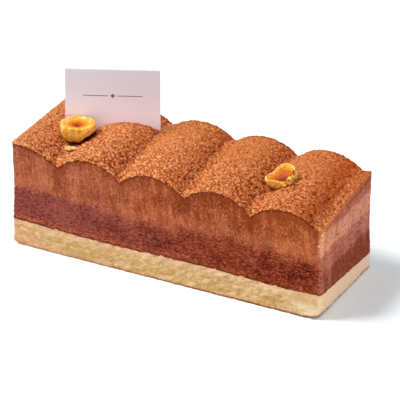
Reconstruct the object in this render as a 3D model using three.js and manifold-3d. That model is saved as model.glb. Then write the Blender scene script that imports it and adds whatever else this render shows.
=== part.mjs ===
// Opera cake bar: a sponge base, a dark and a light chocolate mousse layer, and a
// cocoa-dusted top of five waves with two hazelnut pieces and a small card in it.
// Millimetres, +Z up. The origin is the middle of the footprint, on the surface it rests on.
import * as THREE from 'three';
import { mergeVertices } from 'three/addons/utils/BufferGeometryUtils.js';
import Module from 'manifold-3d';

// ---- driving dimensions -------------------------------------------------------------
const LENGTH = 120;                  // front edge, left end to right end
const WIDTH = 42;                    // front face to back face
const LEFT_END_SLANT = 1.6;          // the left cut runs in by this much at the back
const RIGHT_END_SLANT = 0.4;         // and so does the right cut

// Waves: ridges across the width, circular in section, with sharp valleys between them.
const FIRST_VALLEY = -41.9;          // x of the first valley
const PITCH = 24.4;                  // valley to valley
const FAN_FRONT = 0.27;              // the pitch grows along the bar: more at the front
const FAN_BACK = 0.03;               // than at the back
const FIRST_WAVE = 31.7;             // chord of the wave that the left end cuts
const VALLEY_FRONT = 35.9;           // valley height at the front face
const VALLEY_BACK = 37.4;            // and at the back face
const CREST_FRONT = 41.5;            // crest height at the front face
const CREST_BACK = 42.0;             // and at the back face
// How much each valley and each crest is off, left to right: the top is piped by hand.
const VALLEY_STEP = { front: [0, 0, 0.1, 0.2, -0.45, 0.1, 0], back: [0, 0, 0.2, -0.15, -0.45, 0.4, 0] };
const CREST_STEP = { front: [-0.3, -0.15, 0, 0.1, -0.35, 0], back: [-1.7, 0, 0, 0, 0.5, -2.6] };

// Layers, as heights above the rest surface.
const SPONGE_TOP = 10.1;
const SPONGE_WAVER = 0.35;           // how unevenly the sponge was spread
const SPONGE_TAPER_LEFT = 1.8;       // the sponge is thinner at the back: left end
const SPONGE_TAPER_RIGHT = 3.9;      // and right end
const SPONGE_CORNER_RISE = 0.6;      // its top rises at the front right corner
const DARK_TOP = 22.7;
const DARK_WAVER = 0.5;
const DARK_RISE_RIGHT = 1.8;         // the dark mousse is deeper at the front right
const DARK_TAPER_LEFT = 3;           // and thinner at the back
const DARK_TAPER_RIGHT = 1.3;
const COCOA = 0.5;                   // thickness of the cocoa dusting
const COCOA_EDGE = 0.3;              // its thickness along the cut edges
const COCOA_GAP = 0.04;              // it lies this far clear of the mousse

// Edges of the bar.
const EDGE_BAND = 1.2;               // width of the strip that rounds each edge
const CORNER_CUT = 0.4;              // how far each upright corner is rounded off
const SPONGE_CORNER_CUT = 0.6;
const WAIST = 0.3;                   // the walls pull in at the height of the dark mousse
const BASE_INSET = 0.2;              // the sponge's lower edge is rounded under
const BASE_UNDERCUT = 1.5;           // and more so at the front of the right end
const BASE_LIFT_LEFT = 0.9;          // the lower front corners lift off the surface
const BASE_LIFT_RIGHT = 0.9;
const LIFT_REACH = 12;

// Card: a plain upright label pushed into the first two waves.
const CARD_WIDTH = 33.5;
const CARD_THICKNESS = 0.6;
const CARD_TOP = 62.6;
const CARD_FOOT = 30;
const CARD_X = -34.3;
const CARD_Y = 6.7;
const CARD_TURN = THREE.MathUtils.degToRad(23.6);
const CLEARANCE = 0.3;               // gap round what is pushed into the mousse

// Hazelnut halves: a dome with an uneven rim and a hollow in the cut face.
const LEFT_NUT = {
  radius: 6.1, depth: 6.9, breadth: 0.9, hollow: 1.8, rimLobe: 0.03, lobes: 5, lobeTurn: 0.6,
  x: -42.9, y: -3.8, z: 43.9, tiltX: -0.05, tiltY: -0.02, turn: 0.35,
};
const RIGHT_NUT = {
  radius: 5.4, depth: 6.3, breadth: 0.95, hollow: 2.6, rimLobe: 0.08, lobes: 3, lobeTurn: -2.93,
  x: 36, y: -2.9, z: 43.3, tiltX: 0.22, tiltY: -0.28, turn: 0,
};

// Nut flake: a thin sliver across the first valley.
const FLAKE_LENGTH = 5.6;
const FLAKE_WIDTH = 2.6;
const FLAKE_THICKNESS = 0.8;
const FLAKE_X = -41.2;
const FLAKE_Y = -12.2;
const FLAKE_Z = 38.2;
const FLAKE_TURN = 0.05;

// ---- grid over the plan -------------------------------------------------------------
const WAVE_COUNT = 5;
const COLUMNS_PER_WAVE = 8;
const FIRST_COLUMNS = 6;
const LAST_COLUMNS = 2;
const LEAST_COLUMN = 0.35;           // columns stay this far apart where the right end moves in
const ROWS = 6;

const { lerp, smoothstep } = THREE.MathUtils;

function evenSteps(count) {
  return Array.from({ length: count }, (_, step) => step / count);
}

// Rows as fractions of the width, with a narrow band along each face.
const edgeRow = EDGE_BAND / WIDTH;
const rows = [0, ...evenSteps(ROWS - 1).map((step) => lerp(edgeRow, 1 - edgeRow, step)), 1 - edgeRow, 1];

// Columns as [segment, fraction]: segment 0 runs from the left end to the first valley,
// the next ones from valley to valley, and the last one to the right end.
const edgeColumn = EDGE_BAND / (FIRST_VALLEY + LENGTH / 2);
const columns = [[0, 0], ...evenSteps(FIRST_COLUMNS).map((step) => [0, lerp(edgeColumn, 1, step)])];
for (let segment = 1; segment < WAVE_COUNT; segment += 1) {
  columns.push(...evenSteps(COLUMNS_PER_WAVE).map((step) => [segment, step]));
}
columns.push(...evenSteps(LAST_COLUMNS).map((step) => [WAVE_COUNT, step]), [WAVE_COUNT, 1]);
const lastColumn = columns.length - 1;
const lastRow = rows.length - 1;

const leftEnd = (v) => -LENGTH / 2 + LEFT_END_SLANT * v;
const rightEnd = (v) => LENGTH / 2 - RIGHT_END_SLANT * v;

// x of a valley line: 0 and WAVE_COUNT + 1 are the ones that the end cuts took away.
function valleyX(number, v) {
  if (number === 0) {
    return FIRST_VALLEY - FIRST_WAVE;
  }
  const step = number - 1;
  return FIRST_VALLEY + PITCH * step + lerp(FAN_FRONT, FAN_BACK, v) * step * (step - 1);
}

function columnX([segment, fraction], v) {
  const from = segment === 0 ? leftEnd(v) : valleyX(segment, v);
  const to = segment === WAVE_COUNT ? rightEnd(v) : valleyX(segment + 1, v);
  return lerp(from, to, fraction);
}

// ---- heights ------------------------------------------------------------------------
const along = (x) => (x + LENGTH / 2) / LENGTH;

function crownZ(x, v) {
  let wave = 0;
  while (wave < WAVE_COUNT && x > valleyX(wave + 1, v)) {
    wave += 1;
  }
  const from = valleyX(wave, v);
  const to = valleyX(wave + 1, v);
  const fraction = (x - from) / (to - from);
  const valleyStep = (number) => lerp(VALLEY_STEP.front[number], VALLEY_STEP.back[number], v);
  const valley = lerp(VALLEY_FRONT, VALLEY_BACK, v) + lerp(valleyStep(wave), valleyStep(wave + 1), fraction);
  const crest = lerp(CREST_FRONT, CREST_BACK, v) + lerp(CREST_STEP.front[wave], CREST_STEP.back[wave], v);
  const half = (to - from) / 2;
  const rise = crest - valley;
  const radius = (half * half + rise * rise) / (2 * rise);
  const offset = half * (2 * fraction - 1);
  return valley + Math.sqrt(radius * radius - offset * offset) - (radius - rise);
}

function spongeTopZ(x, v) {
  const waver = SPONGE_WAVER * Math.sin((x + 5) / 12);
  const corner = SPONGE_CORNER_RISE * smoothstep(x, LENGTH / 3, LENGTH / 2) * (1 - v);
  return SPONGE_TOP + waver + corner - v * lerp(SPONGE_TAPER_LEFT, SPONGE_TAPER_RIGHT, along(x));
}

function darkTopZ(x, v) {
  const waver = DARK_WAVER * Math.sin((x + LENGTH / 2) / 11);
  const rise = DARK_RISE_RIGHT * Math.max(0, along(x) * 2 - 1) * (1 - v);
  return DARK_TOP + waver + rise - v * lerp(DARK_TAPER_LEFT, DARK_TAPER_RIGHT, along(x) ** 2);
}

function liftZ(x, y) {
  const fromLeft = Math.hypot(x + LENGTH / 2, y + WIDTH / 2) / LIFT_REACH;
  const fromRight = Math.hypot(x - LENGTH / 2, y + WIDTH / 2) / LIFT_REACH;
  const fade = (distance) => Math.max(0, 1 - distance) ** 2;
  return BASE_LIFT_LEFT * fade(fromLeft) + BASE_LIFT_RIGHT * fade(fromRight);
}

// ---- layers -------------------------------------------------------------------------
// Where a grid point lies in plan. The outermost points move in by `inset`, the right
// end by `undercut` more at its front, and the four corners by `corner`.
function planPoint(i, j, { inset = 0, undercut = 0, corner = CORNER_CUT } = {}) {
  const v = rows[j];
  const front = j === 0;
  const back = j === lastRow;
  const inY = front || back ? inset : 0;
  const atCorner = front || back ? corner : 0;
  const leftLimit = leftEnd(v) + inset + atCorner;
  const rightLimit = rightEnd(v) - inset - atCorner - undercut * (1 - v) - LEAST_COLUMN * (lastColumn - i);
  const x = i === 0 ? leftLimit : Math.min(columnX(columns[i], v), rightLimit);
  const inCorner = i === 0 || i === lastColumn ? atCorner : 0;
  const y = lerp(-WIDTH / 2, WIDTH / 2, v) + (inY + inCorner) * (front ? 1 : -1);
  return { x, y, v };
}

const level = (height, options) => (i, j) => {
  const point = planPoint(i, j, options);
  return [point.x, point.y, height(point, i, j)];
};

function onEdge(i, j) {
  return i === 0 || i === lastColumn || j === 0 || j === lastRow;
}

// A layer is one closed body: its lowest level and its highest level are full grids,
// and its wall is a strip between each level and the next.
function layerGeometry(levels) {
  const positions = [];
  const index = [];
  const vertex = levels.map((place, number) => {
    const full = number === 0 || number === levels.length - 1;
    const numbers = new Map();
    for (let i = 0; i <= lastColumn; i += 1) {
      for (let j = 0; j <= lastRow; j += 1) {
        if (full || onEdge(i, j)) {
          numbers.set(i * rows.length + j, positions.length / 3);
          positions.push(...place(i, j));
        }
      }
    }
    return (i, j) => numbers.get(i * rows.length + j);
  });

  const bottom = vertex[0];
  const top = vertex[vertex.length - 1];
  for (let i = 0; i < lastColumn; i += 1) {
    for (let j = 0; j < lastRow; j += 1) {
      index.push(bottom(i, j), bottom(i + 1, j + 1), bottom(i + 1, j));
      index.push(bottom(i, j), bottom(i, j + 1), bottom(i + 1, j + 1));
      index.push(top(i, j), top(i + 1, j), top(i + 1, j + 1));
      index.push(top(i, j), top(i + 1, j + 1), top(i, j + 1));
    }
  }

  // Once round the edge, anticlockwise from above.
  const loop = [];
  for (let i = 0; i < lastColumn; i += 1) {
    loop.push([i, 0]);
  }
  for (let j = 0; j < lastRow; j += 1) {
    loop.push([lastColumn, j]);
  }
  for (let i = lastColumn; i > 0; i -= 1) {
    loop.push([i, lastRow]);
  }
  for (let j = lastRow; j > 0; j -= 1) {
    loop.push([0, j]);
  }
  for (let ring = 0; ring < vertex.length - 1; ring += 1) {
    loop.forEach((here, step) => {
      const next = loop[(step + 1) % loop.length];
      const [low, high] = [vertex[ring], vertex[ring + 1]];
      index.push(low(...here), low(...next), high(...next));
      index.push(low(...here), high(...next), high(...here));
    });
  }

  const geometry = new THREE.BufferGeometry();
  geometry.setAttribute('position', new THREE.Float32BufferAttribute(positions, 3));
  geometry.setIndex(index);
  return geometry;
}

const spongeUnderside = level(({ x, y }) => liftZ(x, y), {
  inset: BASE_INSET, undercut: BASE_UNDERCUT, corner: SPONGE_CORNER_CUT,
});
const spongeBelly = level(({ x, y, v }) => lerp(liftZ(x, y), spongeTopZ(x, v), 0.35), {
  undercut: BASE_UNDERCUT / 3, corner: SPONGE_CORNER_CUT,
});
const spongeTop = level(({ x, v }) => spongeTopZ(x, v));
const darkTop = level(({ x, v }) => darkTopZ(x, v), { inset: WAIST });
const mousseTop = level(({ x, v }) => crownZ(x, v) - COCOA);
const cocoaUnderside = level(({ x, v }) => crownZ(x, v) - COCOA + COCOA_GAP);
const cocoaTop = level(({ x, v }, i, j) => crownZ(x, v) - (onEdge(i, j) ? COCOA - COCOA_EDGE : 0));

// ---- cuts and joins -----------------------------------------------------------------
const wasm = await Module();
wasm.setup();

function toSolid(geometry) {
  const bare = geometry.clone();
  bare.deleteAttribute('normal');
  bare.deleteAttribute('uv');
  const merged = mergeVertices(bare, 1e-4);
  return new wasm.Manifold(new wasm.Mesh({
    numProp: 3,
    vertProperties: new Float32Array(merged.attributes.position.array),
    triVerts: new Uint32Array(merged.index.array),
  }));
}

function toGeometry(solid) {
  const mesh = solid.getMesh();
  const geometry = new THREE.BufferGeometry();
  geometry.setAttribute('position', new THREE.BufferAttribute(mesh.vertProperties, 3));
  geometry.setIndex(new THREE.BufferAttribute(mesh.triVerts, 1));
  return geometry;
}

// ---- card ---------------------------------------------------------------------------
function cardGeometry(clearance = 0) {
  const height = CARD_TOP - CARD_FOOT + clearance;
  const geometry = new THREE.BoxGeometry(CARD_WIDTH + 2 * clearance, CARD_THICKNESS + 2 * clearance, height);
  geometry.translate(0, 0, CARD_FOOT - clearance + height / 2);
  geometry.rotateZ(CARD_TURN);
  geometry.translate(CARD_X, CARD_Y, 0);
  return geometry;
}

// ---- hazelnut pieces ----------------------------------------------------------------
// The section goes from the lowest point of the dome out to the rim and back in over
// the cut face to the middle of the hollow.
function nutSection({ radius, depth, hollow }) {
  const DOME_FULLNESS = 0.85;
  const DOME_STEPS = 7;
  const RIM_STEPS = 3;
  const HOLLOW_STEPS = 4;
  const rim = radius * 0.12;
  const points = [];
  for (let step = 0; step <= DOME_STEPS; step += 1) {
    const angle = (Math.PI / 2) * (step / DOME_STEPS);
    const reach = radius * Math.sin(angle) ** DOME_FULLNESS;
    points.push(new THREE.Vector2(reach, -depth * Math.max(0, Math.cos(angle)) ** DOME_FULLNESS));
  }
  for (let step = 1; step <= RIM_STEPS; step += 1) {
    const angle = Math.PI * (step / RIM_STEPS);
    points.push(new THREE.Vector2(radius - rim + rim * Math.cos(angle), rim * 0.8 * Math.sin(angle)));
  }
  const mouth = radius - 2 * rim;
  for (let step = 1; step <= HOLLOW_STEPS; step += 1) {
    const fraction = 1 - step / HOLLOW_STEPS;
    points.push(new THREE.Vector2(mouth * fraction, -hollow * (1 - fraction * fraction)));
  }
  points[0].x = 0;
  points[points.length - 1].x = 0;
  return points;
}

function nutGeometry(nut, clearance = 0) {
  const grown = { ...nut, radius: nut.radius + clearance, depth: nut.depth + clearance };
  const geometry = new THREE.LatheGeometry(nutSection(grown), 22);
  geometry.rotateX(Math.PI / 2);
  const position = geometry.attributes.position;
  for (let number = 0; number < position.count; number += 1) {
    const x = position.getX(number);
    const y = position.getY(number);
    const angle = Math.atan2(y, x);
    const reach = Math.hypot(x, y) / nut.radius;
    const lobe = Math.sin(nut.lobes * angle + nut.lobeTurn) + 0.5 * Math.sin(2 * angle - nut.lobeTurn);
    const stretch = 1 + nut.rimLobe * lobe * reach;
    position.setX(number, x * stretch);
    position.setY(number, y * stretch * nut.breadth);
    const wave = nut.rimLobe * nut.radius * reach * Math.cos(3 * angle + nut.lobeTurn);
    position.setZ(number, position.getZ(number) + wave * 0.5);
  }
  geometry.rotateZ(nut.turn);
  geometry.rotateX(nut.tiltX);
  geometry.rotateY(nut.tiltY);
  geometry.translate(nut.x, nut.y, nut.z);
  return geometry;
}

// ---- nut flake ----------------------------------------------------------------------
function flakeGeometry() {
  const outline = new THREE.Shape();
  outline.moveTo(-0.5 * FLAKE_LENGTH, 0.1 * FLAKE_WIDTH);
  outline.quadraticCurveTo(-0.2 * FLAKE_LENGTH, 0.5 * FLAKE_WIDTH, 0.5 * FLAKE_LENGTH, 0.4 * FLAKE_WIDTH);
  outline.lineTo(0.42 * FLAKE_LENGTH, -0.15 * FLAKE_WIDTH);
  outline.quadraticCurveTo(0, -0.6 * FLAKE_WIDTH, -0.35 * FLAKE_LENGTH, -0.4 * FLAKE_WIDTH);
  outline.closePath();
  const geometry = new THREE.ExtrudeGeometry(outline, {
    depth: FLAKE_THICKNESS, bevelEnabled: false, curveSegments: 4,
  });
  geometry.rotateZ(FLAKE_TURN);
  geometry.translate(FLAKE_X, FLAKE_Y, FLAKE_Z);
  return geometry;
}

// ---- assembly -----------------------------------------------------------------------
function finish(color, roughness) {
  return new THREE.MeshStandardMaterial({ color, roughness, metalness: 0 });
}

const seats = [cardGeometry(CLEARANCE), nutGeometry(LEFT_NUT, CLEARANCE), nutGeometry(RIGHT_NUT, CLEARANCE)]
  .map(toSolid)
  .reduce((joined, seat) => joined.add(seat));
const wholeMousse = toSolid(layerGeometry([darkTop, mousseTop]));
const flake = toSolid(flakeGeometry()).subtract(wholeMousse);
const lightMousse = wholeMousse.subtract(seats);
const cocoa = toSolid(layerGeometry([cocoaUnderside, cocoaTop])).add(flake).subtract(seats);

const pieces = {
  sponge_base: [layerGeometry([spongeUnderside, spongeBelly, spongeTop]), finish(0xd8b67c, 0.9)],
  dark_mousse: [layerGeometry([spongeTop, darkTop]), finish(0x7d3f36, 0.65)],
  light_mousse: [toGeometry(lightMousse), finish(0xa75c40, 0.6)],
  cocoa_dusting: [toGeometry(cocoa), finish(0xb56a3c, 0.95)],
  hazelnut_left: [nutGeometry(LEFT_NUT), finish(0xe3a94a, 0.5)],
  hazelnut_right: [nutGeometry(RIGHT_NUT), finish(0xdf9c38, 0.5)],
  card: [cardGeometry(), finish(0xd6cbd2, 0.7)],
};

const cake = new THREE.Group();
cake.name = 'opera_cake';
for (const [name, [geometry, material]] of Object.entries(pieces)) {
  const mesh = new THREE.Mesh(geometry, material);
  mesh.name = name;
  cake.add(mesh);
}

export default cake;
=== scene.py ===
"""An opera cake bar: sponge, dark mousse and light mousse under a waved top dusted with cocoa,
with two hazelnut pieces, a nut flake and a small upright card.

Lengths are in millimetres until a mesh is made, and in metres from there on. +Z is up and the
origin is the middle of the footprint, on the surface that the cake rests on.
"""

import math

import bmesh
import bpy
import numpy as np
from mathutils import Matrix, Vector


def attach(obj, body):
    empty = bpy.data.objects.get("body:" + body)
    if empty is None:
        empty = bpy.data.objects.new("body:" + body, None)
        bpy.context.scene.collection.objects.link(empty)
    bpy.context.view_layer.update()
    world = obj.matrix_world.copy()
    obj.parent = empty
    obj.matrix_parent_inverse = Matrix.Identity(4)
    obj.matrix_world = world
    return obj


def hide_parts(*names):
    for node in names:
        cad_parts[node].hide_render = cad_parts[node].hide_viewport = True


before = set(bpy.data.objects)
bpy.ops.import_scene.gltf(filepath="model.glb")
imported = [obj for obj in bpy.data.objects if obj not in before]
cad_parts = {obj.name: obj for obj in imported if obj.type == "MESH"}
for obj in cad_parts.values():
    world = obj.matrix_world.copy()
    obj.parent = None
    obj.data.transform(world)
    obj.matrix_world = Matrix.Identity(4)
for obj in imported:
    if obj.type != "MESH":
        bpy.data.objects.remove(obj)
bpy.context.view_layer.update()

MM = 0.001

# ---- sizes of the bar, as its solids have them ----
LENGTH = 120
WIDTH = 42
LEFT_END_SLANT = 1.6
RIGHT_END_SLANT = 0.4

FIRST_VALLEY = -41.9
PITCH = 24.4
FAN_FRONT = 0.27
FAN_BACK = 0.03
FIRST_WAVE = 31.7
WAVES = 5
VALLEY_FRONT = 35.9
VALLEY_BACK = 37.4
CREST_FRONT = 41.5
CREST_BACK = 42.0
VALLEY_STEP_FRONT = np.array([0, 0, 0.1, 0.2, -0.45, 0.1, 0])
VALLEY_STEP_BACK = np.array([0, 0, 0.2, -0.15, -0.45, 0.4, 0])
CREST_STEP_FRONT = np.array([-0.3, -0.15, 0, 0.1, -0.35, 0])
CREST_STEP_BACK = np.array([-1.7, 0, 0, 0, 0.5, -2.6])

SPONGE_TOP = 10.1
SPONGE_WAVER = 0.35
SPONGE_TAPER_LEFT = 1.8
SPONGE_TAPER_RIGHT = 3.9
SPONGE_CORNER_RISE = 0.6
DARK_TOP = 22.7
DARK_WAVER = 0.5
DARK_RISE_RIGHT = 1.8
DARK_TAPER_LEFT = 3
DARK_TAPER_RIGHT = 1.3
WAIST = 0.3
BASE_UNDERCUT = 1.5
BASE_LIFT_LEFT = 0.9
BASE_LIFT_RIGHT = 0.9
LIFT_REACH = 12

VALLEY_FILL = 1.25
FILL_REACH = 2.2

CARD_WIDTH = 33.5
CARD_THICKNESS = 0.6
CARD_TOP = 62.6
CARD_FOOT = 30
CARD_X = -34.3
CARD_Y = 6.7
CARD_TURN = math.radians(23.6)
CARD_ROUND = 0.09
PRINT_Z = 52.2

# The middles of the nuts' rims, and of the shade painted on the powder round the left nut.
LEFT_NUT = (-42.9, -3.8, 44.1)
RIGHT_NUT = (36.0, -2.9, 43.3)
LEFT_NUT_SHADE = (-41.9, -3.4)

FLAKE = (-41.2, -12.2, 38.7)
FLAKE_LENGTH = 5.2
FLAKE_WIDTH = 2.3
# Height and share of the width, from the bottom up.
FLAKE_SECTION = (
    (-0.4, 0.02), (-0.42, 0.6), (-0.3, 0.95), (0.0, 1.0), (0.3, 0.94), (0.42, 0.6), (0.4, 0.02),
)

# ---- how far each mousse reaches into the layer below it, and how far the light mousse's top
# and the cocoa's underside lie under the crown ----
DARK_SEAT = 0.25
LIGHT_SEAT = 0.15
LIGHT_DROP = 0.45
COCOA_DROP = 0.8

# ---- radii of the upright corners, from the front left anticlockwise ----
SPONGE_CORNERS = (0.9, 2.0, 1.0, 0.9)
DARK_CORNERS = (0.8, 1.1, 0.7, 0.7)
LIGHT_CORNERS = (0.8, 0.9, 0.6, 0.6)

# The cocoa has the light mousse's corners. Its rim's rings are (inset, drop below the crown),
# from the top down.
COCOA_RIM = ((-0.08, 0.45), (-0.08, 0.62), (0.25, 0.78))

# ---- crumbs: the most that one is turned, in radians, and how lumpy they are, in mm ----
CRUMB_TURN = 6.28
CRUMB_LUMPS = 0.22

# ---- fineness of the meshes ----
COCOA_STEP = 0.26
WALL_STEP = 0.36
NUT_STEPS = 24
NUT_AROUND = 140
FLAKE_AROUND = 40

# A height over or under a layer's edge that no finish reaches.
FAR = 99

# ---- studio, in metres and degrees, but the camera's place in mm ----
FLOOR_WIDTH = 8
FLOOR_Z = -2e-5
CAMERA_TARGET = (3.233, 0.0, 22.998)
CAMERA_DISTANCE = 1749.414
CAMERA_AZIMUTH = 26.353
CAMERA_ELEVATION = 29.945
CAMERA_ROLL = 0.091
CAMERA_LENS = 450


def lerp(start, end, share):
    return start + (end - start) * share


def smooth(value, low, high):
    """Goes smoothly from 0 to 1 as value goes from low to high."""
    share = np.clip((value - low) / (high - low), 0, 1)
    return share * share * (3 - 2 * share)


# ---- the bar's shape ----
def left_end(v):
    return -LENGTH / 2 + LEFT_END_SLANT * v


def right_end(v):
    return LENGTH / 2 - RIGHT_END_SLANT * v


def along(x):
    return (x + LENGTH / 2) / LENGTH


def depth_share(y):
    """How far back a place is: 0 at the front face and 1 at the back face."""
    return (y + WIDTH / 2) / WIDTH


def valley_x(number, v):
    if number == 0:
        return np.full_like(v, FIRST_VALLEY - FIRST_WAVE)
    step = number - 1
    return FIRST_VALLEY + PITCH * step + lerp(FAN_FRONT, FAN_BACK, v) * step * (step - 1)


def wave_share(x, y):
    """The wave that a place is on, the wave's ends and how far the place is from the first."""
    v = depth_share(y)
    lines = np.stack([valley_x(number, v) for number in range(WAVES + 2)])
    wave = (x > lines[1:-1]).sum(axis=0)
    start = np.take_along_axis(lines, wave[None], 0)[0]
    end = np.take_along_axis(lines, wave[None] + 1, 0)[0]
    return wave, start, end, (x - start) / (end - start)


def crown_z(x, y):
    """Height of the waved top: ridges of circular section with sharp valleys between them."""
    v = depth_share(y)
    wave, start, end, share = wave_share(x, y)
    step_before = lerp(VALLEY_STEP_FRONT[wave], VALLEY_STEP_BACK[wave], v)
    step_after = lerp(VALLEY_STEP_FRONT[wave + 1], VALLEY_STEP_BACK[wave + 1], v)
    valley = lerp(VALLEY_FRONT, VALLEY_BACK, v) + lerp(step_before, step_after, share)
    crest = lerp(CREST_FRONT, CREST_BACK, v) + lerp(CREST_STEP_FRONT[wave], CREST_STEP_BACK[wave], v)
    half = (end - start) / 2
    rise = crest - valley
    radius = (half * half + rise * rise) / (2 * rise)
    offset = half * (2 * share - 1)
    return valley + np.sqrt(radius * radius - offset * offset) - (radius - rise)


def powder_z(x, y):
    """Height of the cocoa: powder rounds the valleys, but not where the faces cut them."""
    start, end = wave_share(x, y)[1:3]
    from_valley = np.minimum(x - start, end - x)
    from_face = np.minimum(WIDTH / 2 - np.abs(y), LENGTH / 2 - np.abs(x))
    fill = VALLEY_FILL * np.clip(1 - from_valley / FILL_REACH, 0, 1) ** 2
    return crown_z(x, y) + fill * smooth(from_face, 0.2, 2.6)


def sponge_top_z(x, y):
    v = depth_share(y)
    corner = SPONGE_CORNER_RISE * smooth(x, LENGTH / 3, LENGTH / 2) * (1 - v)
    taper = lerp(SPONGE_TAPER_LEFT, SPONGE_TAPER_RIGHT, along(x))
    return SPONGE_TOP + SPONGE_WAVER * np.sin((x + 5) / 12) + corner - v * taper


def dark_top_z(x, y):
    v = depth_share(y)
    waver = DARK_WAVER * np.sin((x + LENGTH / 2) / 11)
    rise = DARK_RISE_RIGHT * np.maximum(0, along(x) * 2 - 1) * (1 - v)
    taper = lerp(DARK_TAPER_LEFT, DARK_TAPER_RIGHT, along(x) ** 2)
    return DARK_TOP + waver + rise - v * taper


def lift_z(x, y):
    """The lower front corners lift off the surface."""
    from_left = np.hypot(x + LENGTH / 2, y + WIDTH / 2) / LIFT_REACH
    from_right = np.hypot(x - LENGTH / 2, y + WIDTH / 2) / LIFT_REACH
    left = BASE_LIFT_LEFT * np.maximum(0, 1 - from_left) ** 2
    return left + BASE_LIFT_RIGHT * np.maximum(0, 1 - from_right) ** 2


def in_plan(x, y, inset, undercut, corners):
    """Moves points of a plain rectangle to the bar's plan.

    inset pulls all sides in, undercut the front of the right end. corners are the radii at
    the front left, front right, back right and back left.
    """
    x = x * (1 - 2 * inset / LENGTH)
    y = y * (1 - 2 * inset / WIDTH)
    for (side_x, side_y), radius in zip(((-1, -1), (1, -1), (1, 1), (-1, 1)), corners):
        centre_x = LENGTH / 2 - inset - radius
        centre_y = WIDTH / 2 - inset - radius
        p = (x * side_x - centre_x) / radius
        q = (y * side_y - centre_y) / radius
        inside = (p > 0) & (q > 0)
        p = np.clip(p, 0, 1)
        q = np.clip(q, 0, 1)
        x = np.where(inside, side_x * (centre_x + radius * p * np.sqrt(1 - q * q / 2)), x)
        y = np.where(inside, side_y * (centre_y + radius * q * np.sqrt(1 - p * p / 2)), y)
    v = depth_share(y)
    pull = undercut * (1 - v) * smooth(x, LENGTH / 2 - 9, LENGTH / 2) ** 2
    return lerp(left_end(v), right_end(v), along(x)) - pull, y


# ---- meshes ----
def add_object(name, data):
    made = bpy.data.objects.new(name, data)
    bpy.context.scene.collection.objects.link(made)
    return made


def make_piece(name, points, faces, fields):
    """A mesh object from points in mm, lists of faces and named numbers at the points."""
    mesh = bpy.data.meshes.new(name)
    mesh.from_pydata((points * MM).tolist(), [], [face for group in faces for face in group.tolist()])
    for field, values in fields.items():
        attribute = mesh.attributes.new(field, "FLOAT", "POINT")
        attribute.data.foreach_set("value", np.asarray(values, np.float32))
    mesh.shade_smooth()
    return add_object(name, mesh)


def mark(piece, field, weight):
    """Sets a field of a piece from a function of x, y and z in mm."""
    places = np.empty(len(piece.data.vertices) * 3, np.float32)
    piece.data.vertices.foreach_get("co", places)
    x, y, z = places.reshape(-1, 3).T / MM
    attribute = piece.data.attributes.get(field) or piece.data.attributes.new(field, "FLOAT", "POINT")
    attribute.data.foreach_set("value", weight(x, y, z).astype(np.float32))


def columns(*values):
    return np.stack(values, axis=1)


def round_angles(count):
    return np.linspace(0, 2 * math.pi, count, endpoint=False)


def ring_pairs(count):
    """The numbers of a ring's points, and for each of them the next one's."""
    here = np.arange(count)
    return here, (here + 1) % count


def edge_loop(step):
    """Points round the plain rectangle, anticlockwise from the middle of the left side."""
    across = 2 * round(WIDTH / step / 2)
    length = round(LENGTH / step)
    x = np.linspace(-LENGTH / 2, LENGTH / 2, length + 1)
    y = np.linspace(-WIDTH / 2, WIDTH / 2, across + 1)
    loop_x = np.concatenate([x[:-1], np.full(across, x[-1]), x[:0:-1], np.full(across, x[0])])
    loop_y = np.concatenate([np.full(length, y[0]), y[:-1], np.full(length, y[-1]), y[:0:-1]])
    return np.roll(loop_x, across // 2), np.roll(loop_y, across // 2)


def band_faces(low, high, count):
    """Quads between two rings of points that start at the numbers low and high."""
    here, after = ring_pairs(count)
    return columns(low + here, low + after, high + after, high + here)


def tube_faces(rings, count, first=0):
    """Quads that join rings of points one to the next. first is the number of the first point."""
    starts = first + count * np.arange(rings)
    return [band_faces(start, start + count, count) for start in starts[:-1]]


def zip_faces(first, count):
    """Closes a ring by joining its front points to its back points."""
    half = count // 2
    near = np.arange(1, half - 1)
    quads = columns(near, near + 1, count - near - 1, count - near)
    ends = np.array([[0, 1, count - 1], [half - 1, half, half + 1]])
    return [first + quads, first + ends]


def flipped(groups):
    return [faces[:, ::-1] for faces in groups]


def cap_rings(ring, height, rings):
    """Rings of points that close in from a ring on the bar's middle line."""
    x, y = ring[:, 0], ring[:, 1]
    middle = np.clip(x, -LENGTH / 2 + WIDTH / 2, LENGTH / 2 - WIDTH / 2)
    made = []
    for share in np.linspace(0, 0.98, rings + 1)[1:]:
        ring_x = lerp(x, middle, share)
        ring_y = y * (1 - share)
        made.append(columns(ring_x, ring_y, height(ring_x, ring_y)))
    return made


def layer(name, bottom, top, wall, cap_tops=4, sink=0.0):
    """A closed layer of the bar. wall(share) gives inset, undercut and corners for the share
    of the height, and sink is how far its hidden top lies under its edge."""
    loop_x, loop_y = edge_loop(WALL_STEP)
    count = len(loop_x)
    centre = np.zeros(1)
    steps = round(float((top(centre, centre) - bottom(centre, centre))[0]) / WALL_STEP)
    walls, rise, below = [], [], []
    for step in range(steps + 1):
        x, y = in_plan(loop_x, loop_y, *wall(step / steps))
        low, high = bottom(x, y), top(x, y)
        z = lerp(low, high, step / steps)
        walls.append(columns(x, y, z))
        rise.append(z - low)
        below.append(high - z)
    lower = cap_rings(walls[0], bottom, 3)[::-1]
    upper = cap_rings(walls[-1], lambda x, y: top(x, y) - sink, cap_tops)
    rings = lower + walls + upper
    faces = tube_faces(len(rings), count) + flipped(zip_faces(0, count))
    faces += zip_faces((len(rings) - 1) * count, count)
    under, over = np.zeros(len(lower) * count), np.zeros(len(upper) * count)
    fields = {
        "rise": np.concatenate([under, *rise, over + FAR]),
        "below": np.concatenate([under + FAR, *below, over]),
        "open": np.concatenate([under, np.ones(len(walls) * count), over]),
    }
    return make_piece(name, np.concatenate(rings), faces, fields)


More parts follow.
